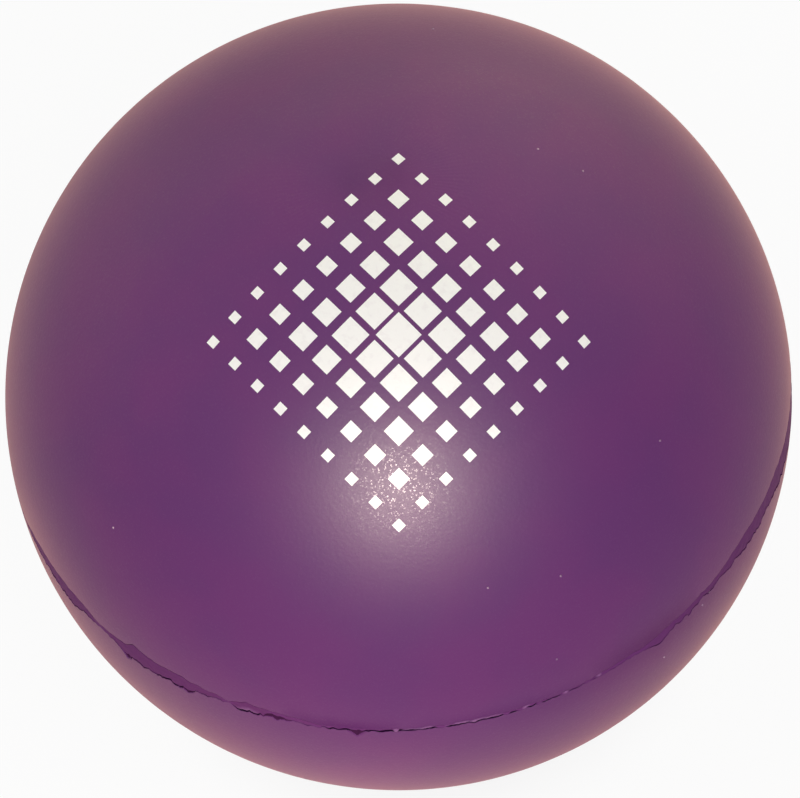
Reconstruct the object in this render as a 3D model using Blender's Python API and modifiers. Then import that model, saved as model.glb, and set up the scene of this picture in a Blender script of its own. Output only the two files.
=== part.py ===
"""Moulded foam stress ball: a foam core, a dense skin from each mould half, and the trimmed flash
that runs between the two skins.

Metres, +Z up along the mould axis. The origin is the middle of the flat that the ball settles on.
The angle round the ball starts at +X, its right-hand side, and -Y is its front.
"""

import math

import bmesh
import bpy
from mathutils import Vector

# Ball
BALL_DIAMETER = 0.070
SKIN_THICKNESS = 0.0012
REST_FLAT_DEPTH = 0.0005
PIECE_CLEARANCE = 0.0003

# Trimmed flash: a hairline at the front and back, a broad cut strip at both sides
FLASH_HAIRLINE_WIDTH = 0.0007
FLASH_RIGHT_WIDTH = 0.0030
FLASH_LEFT_WIDTH = 0.0022
FLASH_SIDE_DROP = 0.0008
FLASH_TRIM_DEPTH = 0.0001
FLASH_TAPER_POWER = 1.6

# Torn rims along the broad stretches of flash
RIM_TEAR_DEPTH = 0.0003
TEARS_IN_UPPER_RIM = 7
TEARS_IN_LOWER_RIM = 11

# Mesh density
FACES_AROUND = 72
SKIN_RINGS = 12
FLASH_RINGS = 2
CORE_FACES_AROUND = 48
CORE_RINGS = 20

# Finish: linear colour and roughness of each material
SKIN_COLOUR = (0.130, 0.032, 0.147)
FLASH_COLOUR = (0.095, 0.028, 0.102)
FOAM_COLOUR = (0.190, 0.070, 0.205)
SKIN_ROUGHNESS = 0.48
FLASH_ROUGHNESS = 0.80
FOAM_ROUGHNESS = 0.95

BALL_RADIUS = BALL_DIAMETER / 2
CENTRE_HEIGHT = BALL_RADIUS - REST_FLAT_DEPTH
UPPER = 1
LOWER = -1


def clear_scene():
    for old in list(bpy.data.objects):
        bpy.data.objects.remove(old, do_unlink=True)


def plain_material(name, colour, roughness):
    material = bpy.data.materials.new(name)
    material.use_nodes = True
    shader = material.node_tree.nodes["Principled BSDF"]
    shader.inputs["Base Color"].default_value = (*colour, 1.0)
    shader.inputs["Roughness"].default_value = roughness
    shader.inputs["Metallic"].default_value = 0.0
    return material


def ball_point(radius, angle, latitude):
    level = math.cos(latitude)
    return radius * Vector((level * math.cos(angle), level * math.sin(angle), math.sin(latitude)))


def flash_breadth(angle):
    """How far the flash has widened from hairline to full strip, 0 to 1."""
    return abs(math.cos(angle)) ** FLASH_TAPER_POWER


def flash_width(angle):
    full_width = FLASH_RIGHT_WIDTH if math.cos(angle) > 0 else FLASH_LEFT_WIDTH
    return FLASH_HAIRLINE_WIDTH + (full_width - FLASH_HAIRLINE_WIDTH) * flash_breadth(angle)


def flash_edge(angle, side):
    """Distance along the surface from the parting plane up to the upper edge of the flash, or down
    to its lower edge. The broad strips were torn downwards, so they sit below the plane."""
    tears = TEARS_IN_UPPER_RIM if side == UPPER else TEARS_IN_LOWER_RIM
    tear = RIM_TEAR_DEPTH * math.sin(tears * angle)
    return flash_width(angle) / 2 + flash_breadth(angle) * (tear - side * FLASH_SIDE_DROP)


def cut_rest_flat(ball, height):
    """Slice the bottom off a ball at a height from its centre and close the cut with one flat face."""
    everything = ball.verts[:] + ball.edges[:] + ball.faces[:]
    cut = bmesh.ops.bisect_plane(
        ball, geom=everything, plane_co=(0, 0, height), plane_no=(0, 0, -1), clear_outer=True
    )
    rim = [item for item in cut["geom_cut"] if isinstance(item, bmesh.types.BMEdge)]
    bmesh.ops.contextual_create(ball, geom=rim)
    for edge in rim:
        edge.smooth = False


def add_piece(name, shape, material, assembly):
    """Turn a bmesh into a named piece that hangs from the assembly's empty, at the ball's centre."""
    bmesh.ops.recalc_face_normals(shape, faces=shape.faces)
    for face in shape.faces:
        face.smooth = True
    for edge in shape.edges:
        if edge.is_boundary:
            edge.smooth = False
    mesh = bpy.data.meshes.new(name)
    shape.to_mesh(mesh)
    shape.free()
    mesh.materials.append(material)
    piece = bpy.data.objects.new(name, mesh)
    piece.location = (0, 0, CENTRE_HEIGHT)
    piece.parent = assembly
    assembly.users_collection[0].objects.link(piece)
    return piece


def thicken_inwards(piece, thickness):
    wall = piece.modifiers.new("wall", "SOLIDIFY")
    wall.thickness = thickness
    wall.offset = -1
    wall.use_even_offset = True


def add_foam_core(assembly):
    """Solid foam body that fills the skins, with its own flat above the ball's rest."""
    core = bmesh.new()
    core_radius = BALL_RADIUS - SKIN_THICKNESS - PIECE_CLEARANCE
    bmesh.ops.create_uvsphere(
        core, u_segments=CORE_FACES_AROUND, v_segments=CORE_RINGS, radius=core_radius
    )
    cut_rest_flat(core, -CENTRE_HEIGHT + SKIN_THICKNESS + PIECE_CLEARANCE)
    add_piece("foam_core", core, plain_material("foam", FOAM_COLOUR, FOAM_ROUGHNESS), assembly)


def add_skin(name, side, material, assembly):
    """Dense skin of one mould half: half a ball whose rim follows the torn edge of the flash."""
    skin = bmesh.new()
    bmesh.ops.create_uvsphere(
        skin, u_segments=FACES_AROUND, v_segments=2 * SKIN_RINGS, radius=BALL_RADIUS
    )
    half_ring = BALL_RADIUS * math.sin(math.pi / (4 * SKIN_RINGS))
    other_half = [vert for vert in skin.verts if side * vert.co.z < -half_ring]
    bmesh.ops.delete(skin, geom=other_half, context="VERTS")
    quarter_turn = math.pi / 2
    for vert in skin.verts:
        angle = math.atan2(vert.co.y, vert.co.x)
        rim = (flash_edge(angle, side) + PIECE_CLEARANCE) / BALL_RADIUS
        climb = math.asin(min(1.0, max(0.0, side * vert.co.z / BALL_RADIUS))) / quarter_turn
        vert.co = ball_point(BALL_RADIUS, angle, side * (rim + climb * (quarter_turn - rim)))
    if side == LOWER:
        cut_rest_flat(skin, -CENTRE_HEIGHT)
    thicken_inwards(add_piece(name, skin, material, assembly), SKIN_THICKNESS)


def add_parting_flash(assembly):
    """Cut strip of flash between the two rims, trimmed a little below the ball's surface."""
    strip = bmesh.new()
    bmesh.ops.create_cone(
        strip, cap_ends=False, segments=FACES_AROUND, radius1=1.0, radius2=1.0, depth=2.0
    )
    uprights = [edge for edge in strip.edges if edge.verts[0].co.z * edge.verts[1].co.z < 0]
    bmesh.ops.subdivide_edges(strip, edges=uprights, cuts=FLASH_RINGS - 1, use_grid_fill=True)
    for vert in strip.verts:
        angle = math.atan2(vert.co.y, vert.co.x)
        across = (vert.co.z + 1) / 2
        height = across * flash_edge(angle, UPPER) - (1 - across) * flash_edge(angle, LOWER)
        vert.co = ball_point(BALL_RADIUS - FLASH_TRIM_DEPTH, angle, height / BALL_RADIUS)
    material = plain_material("trimmed_flash", FLASH_COLOUR, FLASH_ROUGHNESS)
    flash = add_piece("parting_flash", strip, material, assembly)
    thicken_inwards(flash, SKIN_THICKNESS - FLASH_TRIM_DEPTH)


def build_stress_ball():
    clear_scene()
    collection = bpy.data.collections.new("stress_ball")
    bpy.context.scene.collection.children.link(collection)
    assembly = bpy.data.objects.new("ball_origin", None)
    collection.objects.link(assembly)
    skin_material = plain_material("moulded_skin", SKIN_COLOUR, SKIN_ROUGHNESS)
    add_foam_core(assembly)
    add_skin("upper_skin", UPPER, skin_material, assembly)
    add_skin("lower_skin", LOWER, skin_material, assembly)
    add_parting_flash(assembly)


build_stress_ball()
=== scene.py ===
import math

import bpy
import numpy as np
from mathutils import Matrix, Vector, noise


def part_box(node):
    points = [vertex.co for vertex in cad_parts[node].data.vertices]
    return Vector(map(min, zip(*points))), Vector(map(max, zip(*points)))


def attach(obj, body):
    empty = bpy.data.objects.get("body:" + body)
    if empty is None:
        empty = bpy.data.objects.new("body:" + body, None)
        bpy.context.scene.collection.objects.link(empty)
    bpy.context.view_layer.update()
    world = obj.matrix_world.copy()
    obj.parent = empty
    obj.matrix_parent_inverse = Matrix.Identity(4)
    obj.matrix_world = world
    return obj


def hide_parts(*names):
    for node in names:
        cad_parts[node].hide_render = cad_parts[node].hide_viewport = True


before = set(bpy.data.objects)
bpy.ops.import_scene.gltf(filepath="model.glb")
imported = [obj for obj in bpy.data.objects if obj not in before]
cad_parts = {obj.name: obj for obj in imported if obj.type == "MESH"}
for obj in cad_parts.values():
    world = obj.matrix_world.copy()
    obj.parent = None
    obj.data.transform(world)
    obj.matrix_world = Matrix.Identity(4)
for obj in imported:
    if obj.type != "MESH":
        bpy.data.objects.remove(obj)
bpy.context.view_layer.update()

# Foam core
# The soft body of the ball: polyurethane foam, pigmented all through, that swells to fill the
# mould. It is seen only at the bottom of the cracks in the parting line, as a pitted, open surface.
BALL_RADIUS = 0.035
BALL_CENTRE = Vector((0, 0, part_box("upper_skin")[1].z - BALL_RADIUS))
CORE_BOTTOM, CORE_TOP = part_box("foam_core")
CORE_RADIUS = CORE_TOP.z - BALL_CENTRE.z
CORE_SUBDIVISIONS = 7
CREASE_ANGLE = math.radians(40)
FOAM_CELL_SIZE = 0.0011
FOAM_CELL_DEPTH = 0.0003
FOAM_PORE_SIZE = 0.4 * FOAM_CELL_SIZE
FOAM_PORE_EDGES = (0.1, 0.6)
FOAM_PORE_DEPTH = 0.0001
FOAM_COLOUR = (0.105, 0.030, 0.112, 1)
# Painted shade: the pores are coloured darker, as shade inside the open cells
FOAM_PORE_SHADE_COLOUR = (0.045, 0.012, 0.050, 1)


class Wire:
    """An output in a material's node tree. Arithmetic on wires adds Math nodes to the tree."""

    def __init__(self, tree, socket=None):
        self.tree = tree
        self.socket = socket

    def node(self, kind, sockets, output=0, **settings):
        """Add a node of any kind: its settings first, then a value or a wire for each socket."""
        made = self.tree.nodes.new(kind)
        for name, value in settings.items():
            setattr(made, name, value)
        for name, value in sockets.items():
            if isinstance(value, Wire):
                self.tree.links.new(value.socket, made.inputs[name])
            else:
                made.inputs[name].default_value = value
        return Wire(self.tree, made.outputs[output])

    def math(self, operation, first, second):
        return self.node("ShaderNodeMath", {0: first, 1: second}, operation=operation)

    def __add__(self, other):
        return self.math("ADD", self, other)

    def __sub__(self, other):
        return self.math("SUBTRACT", self, other)

    def __rsub__(self, other):
        return self.math("SUBTRACT", other, self)

    def __mul__(self, other):
        return self.math("MULTIPLY", self, other)

    __radd__ = __add__
    __rmul__ = __mul__

    def step(self, low, high):
        """0 below low, 1 above high and smooth between them."""
        limits = {"Value": self, "From Min": low, "From Max": high}
        return self.node("ShaderNodeMapRange", limits, interpolation_type="SMOOTHSTEP")

    def choose(self, off, on):
        """Colour that goes from off to on as this wire goes from 0 to 1."""
        return self.node("ShaderNodeMix", {0: self, 6: off, 7: on}, output=2, data_type="RGBA")

    def grain(self, size, detail=2.0):
        """Noise from 0 to 1 on this coordinate, with lumps of about the given size in metres."""
        sockets = {"Vector": self, "Scale": 1 / size, "Detail": detail}
        return self.node("ShaderNodeTexNoise", sockets)

    def cells(self, size):
        """Foam cells or beads of about the given size in metres: 0 in the middle of each."""
        return self.node("ShaderNodeTexVoronoi", {"Vector": self, "Scale": 1 / size})

    def amount(self, name):
        """The value that the points of the piece hold under this name."""
        return self.node("ShaderNodeAttribute", {}, output="Fac", attribute_name=name)


def new_finish(name, roughness, specular, sheen=0.0, sheen_spread=0.3, sheen_tint=(1, 1, 1, 1)):
    """A material with plain values set: returns it, its Principled shader and a coordinate wire."""
    material = bpy.data.materials.new(name)
    material.use_nodes = True
    shader = material.node_tree.nodes["Principled BSDF"]
    shader.inputs["Roughness"].default_value = roughness
    shader.inputs["Specular IOR Level"].default_value = specular
    shader.inputs["Sheen Weight"].default_value = sheen
    shader.inputs["Sheen Roughness"].default_value = sheen_spread
    shader.inputs["Sheen Tint"].default_value = sheen_tint
    place = Wire(material.node_tree).node("ShaderNodeTexCoord", {}, output="Object")
    return material, shader, place


def feed(shader, socket, wire):
    wire.tree.links.new(wire.socket, shader.inputs[socket])


def feed_relief(shader, height, depth):
    """Bump the surface by a height wire, where a height of 1 stands depth metres proud."""
    bump = height.node("ShaderNodeBump", {"Height": height, "Distance": depth, "Strength": 1.0})
    feed(shader, "Normal", bump)


def start_piece(name):
    """Name the primitive that was just added and put its place into its mesh."""
    piece = bpy.context.object
    piece.name = name
    piece.data.name = name
    bpy.ops.object.transform_apply(location=True, rotation=True, scale=True)
    return piece


def keep_side(plane_point, plane_normal, closed):
    """Cut the active piece by a plane and keep the side that the plane's normal points to."""
    bpy.ops.object.mode_set(mode="EDIT")
    bpy.ops.mesh.select_all(action="SELECT")
    bpy.ops.mesh.bisect(
        plane_co=plane_point, plane_no=plane_normal, use_fill=closed, clear_inner=True
    )
    bpy.ops.object.mode_set(mode="OBJECT")


def finish_piece(piece):
    """Smooth shading and body of a piece that is the active object."""
    bpy.ops.object.shade_smooth_by_angle(angle=CREASE_ANGLE)
    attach(piece, "root")


def stand_for(node):
    """A soft piece takes the place of its CAD solid and fills the space it holds."""
    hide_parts(node)


foam, foam_shader, foam_place = new_finish("open_foam", roughness=0.95, specular=0.1)
pore_walls = foam_place.cells(FOAM_PORE_SIZE).step(*FOAM_PORE_EDGES)
# The pores are painted darker, as shade in the hollows of the foam
feed(foam_shader, "Base Color", pore_walls.choose(FOAM_PORE_SHADE_COLOUR, FOAM_COLOUR))
feed_relief(foam_shader, pore_walls, FOAM_PORE_DEPTH)

bpy.ops.object.select_all(action="DESELECT")
bpy.ops.mesh.primitive_ico_sphere_add(
    subdivisions=CORE_SUBDIVISIONS, radius=CORE_RADIUS, location=BALL_CENTRE
)
foam_core = start_piece("foam_core_body")
cell_pattern = bpy.data.textures.new("foam_cells", "VORONOI")
cell_pattern.noise_scale = FOAM_CELL_SIZE
pits = foam_core.modifiers.new("pits", "DISPLACE")
pits.texture = cell_pattern
pits.texture_coords = "LOCAL"
pits.mid_level = 1.0
pits.strength = FOAM_CELL_DEPTH
bpy.ops.object.modifier_apply(modifier="pits")
keep_side((0, 0, CORE_BOTTOM.z), (0, 0, 1), closed=True)
foam_core.data.materials.append(foam)
finish_piece(foam_core)
stand_for("foam_core")

# Lower skin
# The dense skin that the foam forms against the lower mould half, about a millimetre thick. Its
# rim follows the torn edge of the parting line, and it settles on a small soft flat underneath.
UPPER, LOWER = 1, -1
SKIN_THICKNESS = 0.0012
SKIN_COLUMNS = 480
SKIN_ROWS = 48
SKIN_HALVINGS = 2
ROW_CROWDING = 0.96
FINE_ROWS = 6
FINE_CUTS = 3
RIM_ROUND = 0.00003
# A thin band along the lower rim, dulled and painted darker as shade at the crack
RIM_DULL_SHADE_REACH = 0.00008
RIM_DULL_SHADE = 0.3
FLAT_SOFTNESS = 0.0002

SKIN_COLOUR = (0.137, 0.0272, 0.162, 1)
SKIN_COOL_COLOUR = (0.123, 0.0274, 0.159, 1)
# Painted shade: the scuffed bands along the seam are coloured darker to stand in for shade
SCUFF_SHADE_COLOUR = (0.082, 0.004, 0.118, 1)
RIM_GLOW = (1.0, 0.52, 0.42, 1)
SKIN_ROUGHNESS = 0.47
SKIN_SPECULAR = 0.12
SCUFF_ROUGHNESS = 0.25
GLOSS_PATCH = 0.06
GLOSS_PATCH_SIZE = 0.0009
MOTTLE_SIZE = 0.010
MOTTLE_EDGES = (0.35, 0.65)
SKIN_GRAIN_SIZE = 0.00035
SKIN_GRAIN_DEPTH = 0.000012
BEAD_SIZE = 0.00024
BEAD_EDGES = (0.16, 0.42)
BEAD_PATCH_SIZE = 0.0004
BEAD_PATCH_EDGES = (0.30, 0.58)
BEAD_COAT = 0.15
BEAD_ROUGHNESS = 0.28
EDGE_COLOUR = (0.180, 0.030, 0.185, 1)
EDGE_DARK_COLOUR = (0.125, 0.018, 0.130, 1)
EDGE_GRAIN_SIZE = 0.0003
# Painted shade inside the nicks
NICK_SHADE_COLOUR = (0.052, 0.008, 0.054, 1)
NICK_LIMIT = 0.1

# Degrees round the ball from its right-hand side, then how far the lower and the upper edge of the
# torn strip lie above the parting plane. The places were picked by eye along the seam. A helper
# script turned them into these units, and most were then rounded or moved by hand.
TORN_STRIP = (
    (-180.0, -0.0012, -0.0010),
    (-168.0, -0.0012, -0.0008),
    (-163.5, -0.0011, 0.0002),
    (-158.0, -0.0013, 0.0006),
    (-151.2, -0.0015, 0.0008),
    (-149.0, -0.0005, 0.0008),
    (-145.0, -0.0001, 0.0003),
    (-141.0, -0.0005, 0.0006),
    (-139.5, -0.0012, 0.0008),
    (-138.0, -0.0009, 0.0015),
    (-136.3, -0.0011, 0.0013),
    (-133.5, -0.0007, 0.0011),
    (-128.8, -0.0006, 0.0014),
    (-126.7, -0.0001, 0.0011),
    (-123.5, 0.0003, 0.0010),
    (-121.2, 0.0005, 0.0006),
    (-120.0, -0.0001, 0.0011),
    (-118.5, -0.0001, 0.0015),
    (-117.0, -0.0001, 0.0012),
    (-115.8, 0.0002, 0.0012),
    (-114.4, 0.0006, 0.0012),
    (-112.5, 0.0005, 0.0011),
    (-110.0, 0.0002, 0.0009),
    (-107.5, 0.0000, 0.0005),
    (-102.0, 0.0000, 0.0004),
    (-90.0, 0.0001, 0.0005),
    (-80.0, 0.0001, 0.0006),
    (-72.0, 0.0002, 0.0005),
    (-60.0, 0.0003, 0.0006),
    (-57.3, -0.0001, 0.0004),
    (-54.7, -0.0007, 0.0006),
    (-51.5, -0.0001, 0.0009),
    (-48.5, -0.0002, 0.0008),
    (-46.0, 0.0002, 0.0012),
    (-44.0, -0.0002, 0.0011),
    (-42.3, 0.0002, 0.0010),
    (-38.0, -0.0001, 0.0014),
    (-34.5, -0.0005, 0.0016),
    (-31.5, -0.0010, 0.0014),
    (-27.5, -0.0008, 0.0013),
    (-23.8, -0.0014, 0.0013),
    (-20.5, -0.0020, 0.0011),
    (-15.0, -0.0025, 0.0007),
    (0.0, -0.0021, 0.0009),
    (40.0, -0.0010, 0.0009),
    (75.0, -0.0001, 0.0004),
    (100.0, 0.0000, 0.0004),
    (135.0, -0.0008, 0.0009),
    (180.0, -0.0012, -0.0010),
)
BROAD_STRIP = 0.0010
RAGGED_DEPTH = 0.0005
RAGGED_LENGTH = 0.0007
LEAST_RAGGED = 0.2
UPPER_RAGGED_DEPTH = 0.4 * RAGGED_DEPTH
UPPER_RAGGED_LENGTH = 2 * RAGGED_LENGTH
TEAR_FADE, TEAR_STEP, TEAR_SIZES = 1.0, 2.0, 3

# Nicks scooped out of the lower skin at its rim: degrees round, half length in degrees, depth and
# reach
NICKS = (
    (-139.3, 1.0, 0.00020, 0.0006),
    (-128.3, 1.7, 0.00015, 0.0003),
    (-113.9, 2.6, 0.00012, 0.0006),
    (-102.0, 1.3, 0.00020, 0.0008),
    (24.0, 1.5, 0.00030, 0.0006),
    (152.0, 1.2, 0.00030, 0.0006),
)

# Soft scuffs along the rim of one skin, dulled and painted darker as shade: degrees round, half
# length in degrees, depth, reach, and dullness with painted shade
SHADED_SCUFFS = (
    (UPPER, -104.0, 9.0, 0.00003, 0.0012, 1.0),
    (UPPER, -57.0, 10.0, 0.00010, 0.0022, 1.0),
    (UPPER, -80.0, 16.0, 0.0, 0.0010, 0.5),
    (UPPER, 60.0, 12.0, 0.00006, 0.0013, 1.0),
    (LOWER, -56.0, 26.0, 0.0, 0.0026, 0.4),
)


def torn(point):
    """Smooth noise from about -1 to 1 with finer noise on it, as in torn foam."""
    return noise.fractal(point, TEAR_FADE, TEAR_STEP, TEAR_SIZES)


def ragged(angles, length, seed):
    """Wander from about -1 to 1 round the ball, with swings of about the given length."""
    turn = BALL_RADIUS / length
    return np.array([torn(Vector((math.cos(a) * turn, math.sin(a) * turn, seed))) for a in angles])


def peak(angles, centre, half_length):
    """1 at a place round the ball, falling straight to 0 at half_length degrees from it."""
    return np.clip(1 - np.abs(np.degrees(angles) - centre) / half_length, 0, 1)


def swell(angles, centre, half_length):
    """1 at a place round the ball, rounding off to 0 at half_length degrees from it."""
    return peak(angles, centre, half_length) ** 0.5


def strip_edge(angles, column):
    stations = np.array(TORN_STRIP)
    return np.interp(np.degrees(angles), stations[:, 0], stations[:, column])


def lower_rim(angles):
    """The lower skin's rim, along the strip's lower edge: ragged where the strip is broad."""
    width = strip_edge(angles, 2) - strip_edge(angles, 1)
    depth = RAGGED_DEPTH * np.clip(width / BROAD_STRIP, LEAST_RAGGED, 1)
    return strip_edge(angles, 1) + depth * ragged(angles, RAGGED_LENGTH, seed=3.0)


def upper_rim(angles):
    """The upper skin's rim, a calmer line than the lower one."""
    wander = ragged(angles, UPPER_RAGGED_LENGTH, seed=9.0)
    return strip_edge(angles, 2) + UPPER_RAGGED_DEPTH * wander


def read_points(piece):
    points = np.empty(3 * len(piece.data.vertices))
    piece.data.vertices.foreach_get("co", points)
    return points.reshape(-1, 3)


def write_points(piece, points):
    piece.data.vertices.foreach_set("co", points.ravel())
    piece.data.update()


def write_amount(piece, name, amounts):
    layer = piece.data.attributes.new(name, "FLOAT", "POINT")
    layer.data.foreach_set("value", amounts.astype(np.float32))


def ball_points(radius, angles, latitudes):
    """Points at a distance from the ball's centre, an angle round it and a latitude."""
    level, height = radius * np.cos(latitudes), radius * np.sin(latitudes)
    around = np.stack([level * np.cos(angles), level * np.sin(angles), height], axis=1)
    return around + np.array(BALL_CENTRE)


def half_ball(name, side):
    """Half a ball in even rows, cut finer near the front of its rim."""
    coarse = 2**SKIN_HALVINGS
    bpy.ops.object.select_all(action="DESELECT")
    bpy.ops.mesh.primitive_uv_sphere_add(
        segments=SKIN_COLUMNS // coarse,
        ring_count=2 * SKIN_ROWS // coarse,
        radius=BALL_RADIUS,
        location=BALL_CENTRE,
    )
    half = start_piece(name)
    keep_side(BALL_CENTRE, (0, 0, side), closed=False)
    fine = half.modifiers.new("fine", "SUBSURF")
    fine.subdivision_type = "SIMPLE"
    fine.levels = SKIN_HALVINGS
    fine.render_levels = SKIN_HALVINGS
    bpy.ops.object.modifier_apply(modifier="fine")
    rim_zone = BALL_RADIUS * math.sin(FINE_ROWS / SKIN_ROWS * math.pi / 2)
    bpy.ops.object.mode_set(mode="EDIT")
    bpy.ops.mesh.select_all(action="DESELECT")
    bpy.ops.object.mode_set(mode="OBJECT")
    for face in half.data.polygons:
        from_middle = face.center - BALL_CENTRE
        face.select = side * from_middle.z < rim_zone and from_middle.y < 0
    bpy.ops.object.mode_set(mode="EDIT")
    bpy.ops.mesh.subdivide(number_cuts=FINE_CUTS)
    bpy.ops.object.mode_set(mode="OBJECT")
    return half


def rim_damage(side, angles, from_rim):
    """Roll of the skin near its rim, its scuffs with painted shade, and how far into a nick."""
    rounding = RIM_ROUND - np.clip(from_rim, 0, RIM_ROUND)
    rolled_in = RIM_ROUND - np.sqrt(RIM_ROUND**2 - rounding**2)
    scuffed_and_shaded = np.zeros(len(angles))
    nicked = np.zeros(len(angles))
    for scuffed_side, centre, half, depth, reach, dullness_and_shade in SHADED_SCUFFS:
        if scuffed_side == side:
            hollow = swell(angles, centre, half) * np.exp(-((from_rim / reach) ** 2))
            scuffed_and_shaded = np.maximum(scuffed_and_shaded, dullness_and_shade * hollow)
            rolled_in += depth * hollow
    if side == LOWER:
        # The lower rim is dulled and painted darker here, as shade along the crack
        scuffed_and_shaded = np.maximum(scuffed_and_shaded, RIM_DULL_SHADE * np.exp(-((from_rim / RIM_DULL_SHADE_REACH) ** 2)))
        for centre, half, depth, reach in NICKS:
            hollow = np.clip(peak(angles, centre, half) - from_rim / reach, 0, 1) ** 0.5
            nicked = np.maximum(nicked, hollow)
            rolled_in += depth * hollow
    return rolled_in, scuffed_and_shaded, nicked


def half_skin(name, side, rim_rule, finish):
    """Half a ball, crowded towards a worn rim that follows the given rule, turned into a wall."""
    skin = half_ball(name, side)
    points = read_points(skin) - np.array(BALL_CENTRE)
    angles = np.arctan2(points[:, 1], points[:, 0])
    rise = np.arcsin(np.clip(side * points[:, 2] / np.linalg.norm(points, axis=1), 0, 1))
    climb = rise / (math.pi / 2)
    climb = (1 - ROW_CROWDING) * climb + ROW_CROWDING * climb**2
    rim = side * rim_rule(angles) / BALL_RADIUS
    latitudes = rim + climb * (math.pi / 2 - rim)
    from_rim = (latitudes - rim) * BALL_RADIUS
    rolled_in, scuffed_and_shaded, nicked = rim_damage(side, angles, from_rim)
    points = ball_points(BALL_RADIUS - rolled_in, angles, side * latitudes)
    above_floor = points[:, 2]
    points[:, 2] = (above_floor + np.sqrt(above_floor**2 + FLAT_SOFTNESS**2)) / 2
    write_points(skin, points)
    write_amount(skin, "scuff_and_shade", scuffed_and_shaded)
    write_amount(skin, "nick", nicked)
    skin.data.materials.append(finish)
    skin.data.materials.append(torn_edge)
    for face in skin.data.polygons:
        face.material_index = int(nicked[list(face.vertices)].min() > NICK_LIMIT)
    wall = skin.modifiers.new("wall", "SOLIDIFY")
    wall.thickness = SKIN_THICKNESS
    wall.offset = -1
    wall.material_offset_rim = 1
    bpy.ops.object.modifier_apply(modifier="wall")
    return skin


def moulded_skin(name, sheen, sheen_spread):
    """Satin skin, mottled a little, with tiny glossy beads; scuffs dull it and paint shade on it.
    """
    finish, shader, place = new_finish(
        name, SKIN_ROUGHNESS, SKIN_SPECULAR, sheen, sheen_spread, sheen_tint=RIM_GLOW
    )
    scuff_and_shade = place.amount("scuff_and_shade")
    mottle = place.grain(MOTTLE_SIZE).step(*MOTTLE_EDGES)
    clean = mottle.choose(SKIN_COLOUR, SKIN_COOL_COLOUR)
    # Where scuffed the skin is painted darker as shade, and made duller
    feed(shader, "Base Color", scuff_and_shade.choose(clean, SCUFF_SHADE_COLOUR))
    satin = SKIN_ROUGHNESS + GLOSS_PATCH * place.grain(GLOSS_PATCH_SIZE)
    feed(shader, "Roughness", satin + SCUFF_ROUGHNESS * scuff_and_shade)
    beads = 1 - place.cells(BEAD_SIZE).step(*BEAD_EDGES)
    few_beads = beads * place.grain(BEAD_PATCH_SIZE).step(*BEAD_PATCH_EDGES)
    feed(shader, "Coat Weight", BEAD_COAT * few_beads)
    shader.inputs["Coat Roughness"].default_value = BEAD_ROUGHNESS
    feed_relief(shader, place.grain(SKIN_GRAIN_SIZE), SKIN_GRAIN_DEPTH)
    return finish


torn_edge, edge_shader, edge_place = new_finish("torn_edge", roughness=0.95, specular=0.05)
torn_foam = edge_place.grain(EDGE_GRAIN_SIZE).choose(EDGE_DARK_COLOUR, EDGE_COLOUR)
# Inside the nicks the torn foam is painted dark, as shade in the hollow
nick = edge_place.amount("nick").step(0.0, NICK_LIMIT)
feed(edge_shader, "Base Color", nick.choose(torn_foam, NICK_SHADE_COLOUR))

lower_finish = moulded_skin("lower_moulded_skin", sheen=0.48, sheen_spread=0.39)
lower_skin = half_skin("lower_skin_shell", LOWER, lower_rim, lower_finish)
finish_piece(lower_skin)
stand_for("lower_skin")

# Upper skin
# The matching skin from the upper mould half, the smooth dome that carries the print.
# It is one piece with the foam under it, and its rim ends where the flash was trimmed off.
upper_finish = moulded_skin("upper_moulded_skin", sheen=0.60, sheen_spread=0.36)
upper_skin = half_skin("upper_skin_shell", UPPER, upper_rim, upper_finish)
finish_piece(upper_skin)
stand_for("upper_skin")

# Skin pimples
# Tiny raised points that pinholes in the mould leave on the skin, one with it and a little paler.
# They are scattered thinly over the whole ball.
PIMPLE_RADIUS = 0.00010
PIMPLE_SUBDIVISIONS = 2
PIMPLE_COLOUR = (0.50, 0.33, 0.47, 1)
PIMPLE_DULL_COLOUR = (0.17, 0.06, 0.21, 1)
PIMPLE_SPECKLE = 0.4
PIMPLE_SPECKLE_SIZE = 0.0001

# Degrees right of the front, degrees above the parting plane and paleness; each has a twin
# straight through the ball, so the far side has as many. The places were picked by eye, and a
# helper script turned them into these degrees.
PIMPLES = (
    (-54.5, 22.9, 1.0),
    (160.4, 53.2, 0.6),
    (102.9, 64.3, 0.7),
    (95.4, 58.0, 0.6),
    (10.4, 26.2, 0.7),
    (22.2, 23.6, 0.5),
    (18.4, 9.0, 0.2),
    (35.9, -6.1, 0.7),
    (44.0, -1.2, 0.4),
    (48.2, 31.7, 0.4),
)


def direction_from(azimuth, elevation):
    """Unit vector towards a place, in degrees right of the front and degrees up."""
    turn, rise = math.radians(azimuth), math.radians(elevation)
    level = math.cos(rise)
    return Vector((level * math.sin(turn), -level * math.cos(turn), math.sin(rise)))


def join_pieces(pieces, name):
    bpy.ops.object.select_all(action="DESELECT")
    for piece in pieces:
        piece.select_set(True)
    bpy.context.view_layer.objects.active = pieces[0]
    bpy.ops.object.join()
    joined = bpy.context.object
    joined.name = name
    joined.data.name = name
    return joined


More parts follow.
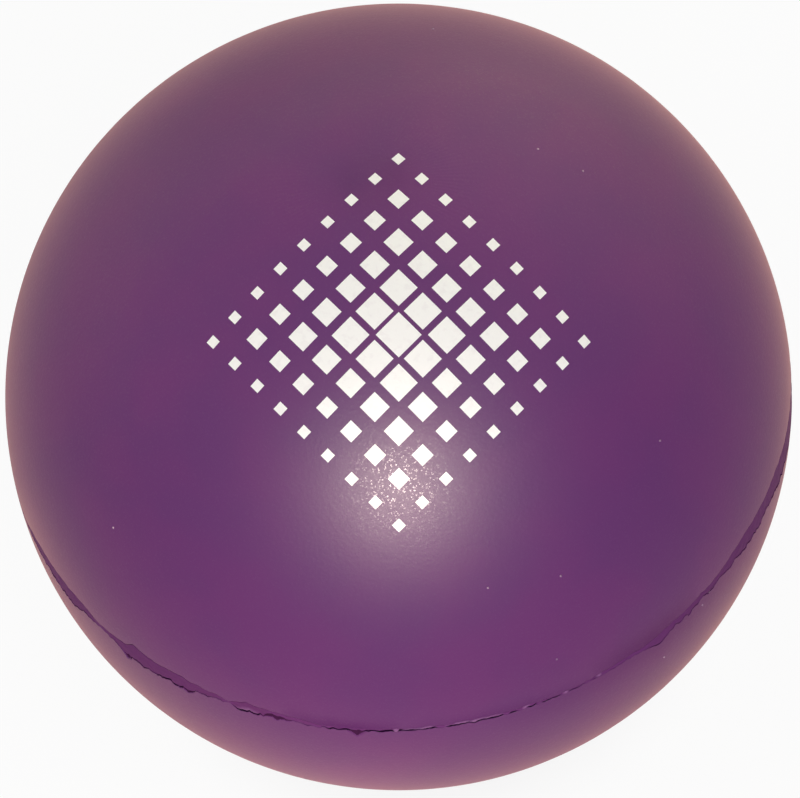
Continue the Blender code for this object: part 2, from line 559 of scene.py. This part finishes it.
points_on_skin = []
for azimuth, elevation, paleness in PIMPLES:
    for towards in (direction_from(azimuth, elevation), -direction_from(azimuth, elevation)):
        bpy.ops.object.select_all(action="DESELECT")
        bpy.ops.mesh.primitive_ico_sphere_add(
            subdivisions=PIMPLE_SUBDIVISIONS,
            radius=PIMPLE_RADIUS,
            location=BALL_CENTRE + BALL_RADIUS * towards,
        )
        pimple = start_piece("pimple")
        write_amount(pimple, "paleness", np.full(len(pimple.data.vertices), paleness))
        points_on_skin.append(pimple)
pimples = join_pieces(points_on_skin, "skin_pimples")
pimple_finish, pimple_shader, pimple_place = new_finish(
    "pimple_skin", roughness=0.5, specular=0.3, sheen=0.4
)
speckle = PIMPLE_SPECKLE * (pimple_place.grain(PIMPLE_SPECKLE_SIZE) - 0.5)
pimple_tone = pimple_place.amount("paleness") + speckle
feed(pimple_shader, "Base Color", pimple_tone.choose(PIMPLE_DULL_COLOUR, PIMPLE_COLOUR))
pimples.data.materials.append(pimple_finish)
finish_piece(pimples)

# Parting flash
# What is left of the thin fin of foam that crept out between the mould halves and was cut away:
# a matt, torn strip at both sides, and a fine raised stub with an open crack under it at the front.
FLASH_COLUMNS = 1920
FLASH_PROFILE = 28
FLASH_FIT = 0.00001
FLASH_MERGE = 0.000001
FLASH_FLANK = 0.3
FLASH_LEAST_WIDTH = 0.00008
FLASH_COLOUR = (0.138, 0.027, 0.150, 1)
FLASH_DARK_COLOUR = (0.113, 0.021, 0.125, 1)
FLASH_GRAIN_SIZE = 0.0004
FLASH_GRAIN_DEPTH = 0.00005
# Painted highlight along the tops of the lips of flash
STUB_HIGHLIGHT_COLOUR = (0.255, 0.100, 0.280, 1)
STUB_PROUD = 0.00010
STRIP_SINK = 0.00002
STRIP_BROAD_FROM = 0.0004
STRIP_BROAD_OVER = 0.0003
TORN_RELIEF = 0.00003
TORN_LUMP_SIZE = 0.0007
LEAST_RAWNESS = 0.3
RUBBED_SMOOTH = 0.6

# The long crack at the front, in degrees round the ball, and how it opens and fades out
FRONT_START, FRONT_END = -107.5, -57.0
FRONT_OPENING, FRONT_FADING = 2.0, 24.0
FRONT_CRACK = 0.00026
CRACK_RAGGED = 0.5

# Where that crack is still closed: degrees round, half length in degrees
BRIDGES = (
    (-96.3, 0.5),
    (-89.7, 1.2),
    (-80.2, 0.7),
    (-77.9, 1.0),
    (-75.2, 0.6),
    (-71.2, 1.0),
    (-67.4, 0.7),
    (-64.5, 1.0),
)
BRIDGE_FIRMNESS = 1.6

# More open cracks: degrees round, half length in degrees and gap
CRACKS = (
    (-139.3, 0.9, 0.00018),
    (-130.5, 3.6, 0.00014),
    (-118.3, 2.4, 0.00024),
    (-114.2, 1.6, 0.00014),
)

# Lips of flash proud above a crack, with a painted highlight: degrees round, half length in degrees
LIPS = (
    (-118.3, 1.8),
    (-96.3, 0.45),
    (-93.0, 2.6),
    (-84.9, 4.4),
    (-77.2, 0.6),
    (-71.0, 0.5),
    (-65.6, 0.5),
)


def front_share(angles):
    """1 along the front, where the flash is a hairline, and 0 at the sides and the back."""
    degrees = np.degrees(angles)
    opening = np.clip((degrees - FRONT_START) / FRONT_OPENING, 0, 1)
    return opening * np.clip((FRONT_END - degrees) / FRONT_FADING, 0, 1)


def crack_gap(angles):
    """How far the flash has torn away from the lower skin."""
    gap = FRONT_CRACK * front_share(angles)
    for centre, half in BRIDGES:
        gap *= np.clip(1 - BRIDGE_FIRMNESS * peak(angles, centre, half), 0, 1)
    for centre, half, widest in CRACKS:
        gap = np.maximum(gap, widest * swell(angles, centre, half))
    return gap * (1 + CRACK_RAGGED * ragged(angles, RAGGED_LENGTH, seed=5.0))


bpy.ops.object.select_all(action="DESELECT")
bpy.ops.mesh.primitive_circle_add(
    vertices=FLASH_PROFILE,
    radius=SKIN_THICKNESS,
    location=(BALL_RADIUS, 0, 0),
    rotation=(math.pi / 2, 0, 0),
)
flash = start_piece("parting_flash_strip")
turning = flash.modifiers.new("turning", "SCREW")
turning.steps = FLASH_COLUMNS
turning.use_merge_vertices = True
turning.merge_threshold = FLASH_MERGE
bpy.ops.object.modifier_apply(modifier="turning")
bpy.ops.object.mode_set(mode="EDIT")
bpy.ops.mesh.select_all(action="SELECT")
bpy.ops.mesh.normals_make_consistent(inside=False)
bpy.ops.object.mode_set(mode="OBJECT")

ring = read_points(flash)
flash_angles = np.arctan2(ring[:, 1], ring[:, 0])
outward = (np.hypot(ring[:, 0], ring[:, 1]) - BALL_RADIUS) / SKIN_THICKNESS
across = ring[:, 2] / SKIN_THICKNESS
front = front_share(flash_angles)
low_edge = lower_rim(flash_angles) + crack_gap(flash_angles) + FLASH_FIT
high_edge = np.maximum(upper_rim(flash_angles) - FLASH_FIT, low_edge + FLASH_LEAST_WIDTH)
strip_width = high_edge - low_edge
broad = np.clip((strip_width - STRIP_BROAD_FROM) / STRIP_BROAD_OVER, 0, 1) * (1 - front)
lip = np.zeros(len(ring))
for centre, half in LIPS:
    lip = np.maximum(lip, swell(flash_angles, centre, half))
lip *= np.maximum(1 - broad, np.clip(-across, 0, 1))
lumps = np.array([torn(Vector(point / TORN_LUMP_SIZE)) for point in ring])
sunk = broad * (RIM_ROUND / 2 + STRIP_SINK * (1 - across) / 2 - TORN_RELIEF * lumps)
rubbed = np.zeros(len(ring))
for scuffed_side, centre, half, depth, *_ in SHADED_SCUFFS:
    if scuffed_side == UPPER:
        hollow = swell(flash_angles, centre, half)
        rubbed = np.maximum(rubbed, hollow)
        sunk += depth * hollow * (1 + across) / 2
face_radius = BALL_RADIUS - sunk + STUB_PROUD * lip * (1 - across**2)
inner_radius = BALL_RADIUS - SKIN_THICKNESS
face_share = (1 + np.clip(outward / FLASH_FLANK, -1, 1)) / 2
strip_radius = inner_radius + (face_radius - inner_radius) * face_share
strip_height = low_edge + strip_width * (1 + across) / 2
write_points(flash, ball_points(strip_radius, flash_angles, strip_height / BALL_RADIUS))
rawness = np.clip(broad, LEAST_RAWNESS * (1 - front), 1) * (1 - RUBBED_SMOOTH * rubbed)
write_amount(flash, "rawness", rawness)
write_amount(flash, "lip", lip)

flash_finish, flash_shader, flash_place = new_finish(
    "trimmed_flash", roughness=0.8, specular=0.1, sheen=0.08, sheen_tint=RIM_GLOW
)
torn_grain = flash_place.grain(FLASH_GRAIN_SIZE, detail=3.0)
torn_colour = torn_grain.choose(FLASH_DARK_COLOUR, FLASH_COLOUR)
strip_colour = flash_place.amount("rawness").choose(SKIN_COLOUR, torn_colour)
# The lips are painted pale, as a highlight along their tops
feed(flash_shader, "Base Color", flash_place.amount("lip").choose(strip_colour, STUB_HIGHLIGHT_COLOUR))
feed_relief(flash_shader, torn_grain, FLASH_GRAIN_DEPTH)
flash.data.materials.append(flash_finish)
finish_piece(flash)
stand_for("parting_flash")

# Print
# A film of white ink, pad printed on the upper skin: a patch of small lozenges that shrink
# towards its edge. It lies a few hundredths of a millimetre proud of the skin.
PRINT_AZIMUTH, PRINT_ELEVATION = 2.7, 65.8
PRINT_TURN = math.radians(9.4)
PRINT_REACH = 0.0185
LOZENGE_PITCH = 0.0042
LOZENGE_LARGEST = 0.0040
LOZENGE_SMALLEST = 0.0010
LOZENGE_CELLS = 5
INK_LIFT = 0.000004
INK_THICKNESS = 0.00003
INK_COLOUR = (0.97, 0.97, 0.97, 1)
INK_THIN_COLOUR = (0.93, 0.92, 0.93, 1)
INK_PATCH_SIZE = 0.0006
INK_PATCH_EDGES = (0.3, 0.5)
INK_GRAIN_SIZE = 0.00028
INK_GRAIN_DEPTH = 0.00001
NO_LENGTH = 1e-9

steps = int(PRINT_REACH / LOZENGE_PITCH * 2) + 1
lozenges = []
for row in range(-steps, steps + 1):
    for column in range(-steps, steps + 1):
        along, up = column * LOZENGE_PITCH / 2, row * LOZENGE_PITCH / 2
        reach = (abs(along) + abs(up)) / PRINT_REACH
        if (row + column) % 2 or reach > 1:
            continue
        size = LOZENGE_LARGEST + (LOZENGE_SMALLEST - LOZENGE_LARGEST) * reach
        bpy.ops.object.select_all(action="DESELECT")
        bpy.ops.mesh.primitive_grid_add(
            x_subdivisions=LOZENGE_CELLS,
            y_subdivisions=LOZENGE_CELLS,
            size=size / math.sqrt(2),
            location=(along, up, 0),
            rotation=(0, 0, math.pi / 4),
        )
        lozenges.append(start_piece("lozenge"))
print_film = join_pieces(lozenges, "print_film")
print_normal = direction_from(PRINT_AZIMUTH, PRINT_ELEVATION)
level_right = Vector((0, 0, 1)).cross(print_normal).normalized()
print_right = Matrix.Rotation(-PRINT_TURN, 3, print_normal) @ level_right
print_up = print_normal.cross(print_right)
flat_points = read_points(print_film)
bend = np.maximum(np.hypot(flat_points[:, 0], flat_points[:, 1]), NO_LENGTH)
pull = np.sin(bend / BALL_RADIUS) / bend
directions = (
    np.outer(flat_points[:, 0] * pull, print_right)
    + np.outer(flat_points[:, 1] * pull, print_up)
    + np.outer(np.cos(bend / BALL_RADIUS), print_normal)
)
write_points(print_film, directions * (BALL_RADIUS + INK_LIFT) + np.array(BALL_CENTRE))
ink_body = print_film.modifiers.new("ink", "SOLIDIFY")
ink_body.thickness = INK_THICKNESS
ink_body.offset = 1
bpy.ops.object.modifier_apply(modifier="ink")

ink, ink_shader, ink_place = new_finish("white_ink", roughness=0.5, specular=0.3)
full_ink = ink_place.grain(INK_PATCH_SIZE).step(*INK_PATCH_EDGES)
feed(ink_shader, "Base Color", full_ink.choose(INK_THIN_COLOUR, INK_COLOUR))
feed_relief(ink_shader, ink_place.grain(INK_GRAIN_SIZE), INK_GRAIN_DEPTH)
print_film.data.materials.append(ink)
finish_piece(print_film)

# Studio
# A white table in a pale room, lit by a broad key light and by warm panels behind the ball. Close
# in front of it are a small lamp for the highlight and a low one that stands in for light off the
# table. A long lens looks down on the print.
VIEW_ELEVATION = 57.0
VIEW_ROLL = math.radians(7.1)
VIEW_DISTANCE = 43 * BALL_RADIUS
PHOTO_WIDTH, PHOTO_HEIGHT = 800, 798
BALL_ON_PHOTO = (398.6, 396.9)
BALL_RADIUS_ON_PHOTO = 393.4
WARM_WHITE = (1.0, 0.97, 0.94)
LOW_LAMP_COLOUR = (1.0, 1.0, 0.56)
LOW_LAMP_SPREAD = math.radians(70)
GLINT_COLOUR = (1.0, 0.86, 0.72)
GLINT_SPREAD = math.radians(44)
HIGHLIGHT_AZIMUTH, HIGHLIGHT_ELEVATION = -1.5, 43.0
PANEL_COLOUR = (1.0, 0.98, 0.50)
ROOM_STRENGTH = 0.45
ROOM_LEAN = (-0.30, -0.10, 0.0)
FLOOR_SIZE = 8.0
FLOOR_GAP = 0.0001
FLOOR_COLOUR = (0.72, 0.72, 0.72, 1)
FLOOR_GLOW = 0.94
FLOOR_GLOW_AT_CONTACT = 0.55
FLOOR_GLOW_COLOUR = (1, 1, 1, 1)
CONTACT_REACH = 0.028
REFLECTED_GLOW = 0.35

# Degrees right of the front, degrees up and power in watts
PANELS = ((-115.0, 22.0, 12.0), (168.0, 42.0, 18.0), (127.0, 20.0, 21.0))


def softbox(name, azimuth, elevation, distance, size, power, colour, aim=BALL_CENTRE):
    """A round lamp, unseen by the camera, that stands off the ball and looks at a point."""
    lamp = bpy.data.lights.new(name, "AREA")
    lamp.shape = "DISK"
    lamp.size = size
    lamp.energy = power
    lamp.color = colour
    holder = bpy.data.objects.new(name, lamp)
    holder.visible_camera = False
    bpy.context.scene.collection.objects.link(holder)
    holder.location = BALL_CENTRE + distance * direction_from(azimuth, elevation)
    holder.rotation_euler = (holder.location - aim).to_track_quat("Z", "Y").to_euler()
    return holder


softbox("key", 20.0, 44.0, distance=2.0, size=1.6, power=19.4, colour=WARM_WHITE)
low_lamp = softbox(
    "low_fill", -13.0, -18.0, distance=0.098, size=0.008, power=0.0034, colour=LOW_LAMP_COLOUR
)
low_lamp.visible_glossy = False
low_lamp.data.spread = LOW_LAMP_SPREAD
highlight = BALL_CENTRE + BALL_RADIUS * direction_from(HIGHLIGHT_AZIMUTH, HIGHLIGHT_ELEVATION)
glint = softbox(
    "front_glint",
    -3.2,
    35.2,
    distance=0.12,
    size=0.027,
    power=0.045,
    colour=GLINT_COLOUR,
    aim=highlight,
)
glint.visible_diffuse = False
glint.data.spread = GLINT_SPREAD
for azimuth, elevation, power in PANELS:
    panel = softbox(
        "panel", azimuth, elevation, distance=1.0, size=1.6, power=power, colour=PANEL_COLOUR
    )
    panel.visible_diffuse = False

room = bpy.data.worlds.new("room")
bpy.context.scene.world = room
room.use_nodes = True
room_light = room.node_tree.nodes["Background"]
room_light.inputs["Color"].default_value = (*WARM_WHITE, 1)
looking = Wire(room.node_tree).node("ShaderNodeTexCoord", {}, output="Generated")
lean = looking.node(
    "ShaderNodeVectorMath", {0: looking, 1: ROOM_LEAN}, output="Value", operation="DOT_PRODUCT"
)
feed(room_light, "Strength", ROOM_STRENGTH + lean)

bpy.ops.object.select_all(action="DESELECT")
bpy.ops.mesh.primitive_plane_add(size=FLOOR_SIZE, location=(0, 0, -FLOOR_GAP))
floor = start_piece("table_top")
table_finish, table_shader, table_place = new_finish("white_table", roughness=0.9, specular=0.1)
table_shader.inputs["Base Color"].default_value = FLOOR_COLOUR
tree = table_finish.node_tree
camera_ray, glossy_ray, clear_ray = [
    Wire(tree).node("ShaderNodeLightPath", {}, output=ray)
    for ray in ("Is Camera Ray", "Is Glossy Ray", "Is Transmission Ray")
]
seen = camera_ray + REFLECTED_GLOW * (glossy_ray + clear_ray)
from_contact = table_place.node(
    "ShaderNodeVectorMath", {0: table_place}, output="Value", operation="LENGTH"
)
open_table = from_contact.step(0.0, CONTACT_REACH)
whiteness = FLOOR_GLOW_AT_CONTACT + (FLOOR_GLOW - FLOOR_GLOW_AT_CONTACT) * open_table
glow = Wire(tree).node("ShaderNodeEmission", {"Color": FLOOR_GLOW_COLOUR, "Strength": 1.0})
plain = Wire(tree, table_shader.outputs["BSDF"])
lit = seen.node("ShaderNodeMixShader", {0: seen * whiteness, 1: plain, 2: glow})
feed(tree.nodes["Material Output"], "Surface", lit)
floor.data.materials.append(table_finish)

camera_data = bpy.data.cameras.new("camera")
camera = bpy.data.objects.new("camera", camera_data)
bpy.context.scene.collection.objects.link(camera)
bpy.context.scene.camera = camera
to_camera = direction_from(0, VIEW_ELEVATION)
level_view = to_camera.to_track_quat("Z", "Y").to_matrix()
camera.matrix_world = (
    Matrix.Translation(BALL_CENTRE + VIEW_DISTANCE * to_camera)
    @ (level_view @ Matrix.Rotation(-VIEW_ROLL, 3, "Z")).to_4x4()
)
ball_half_angle = math.asin(BALL_RADIUS / VIEW_DISTANCE)
half_frame = math.tan(ball_half_angle) * (PHOTO_WIDTH / 2) / BALL_RADIUS_ON_PHOTO
camera_data.sensor_width = 36.0
camera_data.lens = camera_data.sensor_width / 2 / half_frame
camera_data.shift_x = (PHOTO_WIDTH / 2 - BALL_ON_PHOTO[0]) / PHOTO_WIDTH
camera_data.shift_y = (BALL_ON_PHOTO[1] - PHOTO_HEIGHT / 2) / PHOTO_WIDTH
camera_data.clip_end = 20.0
bpy.context.scene.view_settings.view_transform = "Standard"
